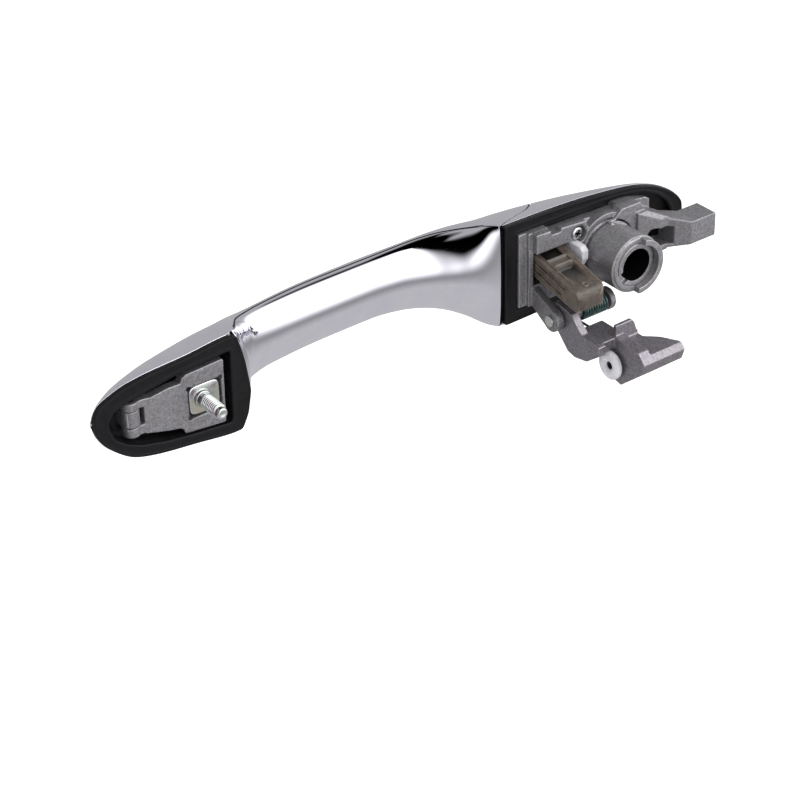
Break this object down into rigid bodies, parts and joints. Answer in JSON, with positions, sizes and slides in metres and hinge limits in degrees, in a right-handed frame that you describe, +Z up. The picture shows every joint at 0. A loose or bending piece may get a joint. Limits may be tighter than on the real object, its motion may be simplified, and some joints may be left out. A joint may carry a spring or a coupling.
{
  "type": "car door handle",
  "caption": "Chrome strap grip hinged at the front in a fixed rear cap and cast base, with a tail that turns a bell crank, a lock housing, rubber gaskets and mounting stud.",
  "frame": {"origin": "on the axis of the front stud, in the plane of the door skin where both gaskets rest", "axes": "+X from the hinged front end to the lock end, +Z up, -Y into the door, +Y outwards"},
  "size_m": [0.2876, 0.0928, 0.0638],
  "materials": {
    "chrome_shell": "bright decorative chrome plate, mirror smooth",
    "black_plastic": "fine moulded grain, satin black",
    "gasket_rubber": "soft satin black rubber",
    "zinc_casting": "raw zinc die casting, speckled grey with brighter rubbed edges",
    "plated_steel": "bright zinc plate with a faint iridescent passivate",
    "smoke_plastic": "smoky brown nylon, semi-gloss, slightly greasy",
    "white_nylon": "natural white nylon, satin",
    "spring_steel": "dark teal coated spring wire"
  },
  "bodies": {
    "carrier": {"hinge_pin": "plated_steel", "front_bracket": "zinc_casting", "front_stud": "plated_steel", "rear_cap": "chrome_shell", "cap_core": "black_plastic", "rear_gasket": "gasket_rubber", "base_casting": "zinc_casting", "lock_housing": "zinc_casting", "lock_sleeve": "zinc_casting", "base_screws": "plated_steel", "tail_guide": "white_nylon", "pivot_pin": "plated_steel", "crank_spring": "spring_steel"},
    "grip": {"grip_outer_cover": "chrome_shell", "grip_inner_cover": "chrome_shell", "grip_core": "black_plastic", "front_carrier": "black_plastic", "hinge_knuckle": "zinc_casting", "front_gasket": "gasket_rubber", "tail_hook": "zinc_casting", "tail_sleeve": "smoke_plastic"},
    "crank": {"bell_crank": "zinc_casting"},
    "clip": {"rod_clip": "white_nylon"}
  },
  "joints": [
    {"name": "grip_hinge", "type": "hinge", "parent": "carrier", "child": "grip", "pos_m": [-0.0295, 0.0034, 0], "axis": [0, 0, 1], "range_deg": [0, 5]},
    {"name": "crank_pivot", "type": "hinge", "parent": "carrier", "child": "crank", "pos_m": [0.172, -0.0144, -0.0178], "axis": [1, 0, 0], "range_deg": [-45, 0], "stiffness_Nm_per_rad": 0.3, "springref_deg": 28.65},
    {"name": "rod_clip_swivel", "type": "hinge", "parent": "crank", "child": "clip", "pos_m": [0.171, -0.0386, -0.0316], "axis": [1, 0, 0], "range_deg": [-70, 70]}
  ],
  "couplings": [
    {"joint": "crank_pivot", "follows": "grip_hinge", "ratio": -9}
  ]
}
